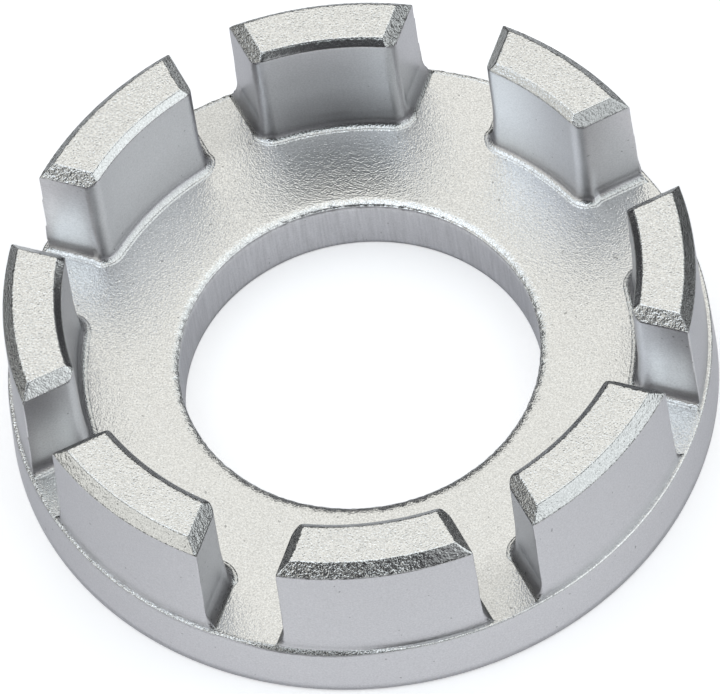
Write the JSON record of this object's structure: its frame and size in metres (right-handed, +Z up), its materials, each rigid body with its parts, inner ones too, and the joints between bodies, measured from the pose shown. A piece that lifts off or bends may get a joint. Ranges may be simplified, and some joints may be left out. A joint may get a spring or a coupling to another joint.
{
  "type": "spoke wrench",
  "caption": "Flat plated metal ring with a round centre hole and a crown of upright curved lugs, whose parallel-sided gaps of graded widths grip spoke nipples.",
  "frame": {"origin": "centre of the ring's underside, on the axis of the hole", "axes": "+Z up along the hole's axis, towards the lugs' tops; the first slot's centreline runs out along -Y, and the slots are numbered anticlockwise seen from above"},
  "size_m": [0.0362, 0.0362, 0.0103],
  "materials": {
    "zinc_plate": "satin zinc or nickel plate on a casting, finely pebbled on the lug tops and the slot floor, smoother on the upright walls"
  },
  "bodies": {
    "root": {"base_ring": "zinc_plate", "lug_1": "zinc_plate", "lug_2": "zinc_plate", "lug_3": "zinc_plate", "lug_4": "zinc_plate", "lug_5": "zinc_plate", "lug_6": "zinc_plate", "lug_7": "zinc_plate", "lug_8": "zinc_plate"}
  },
  "joints": []
}
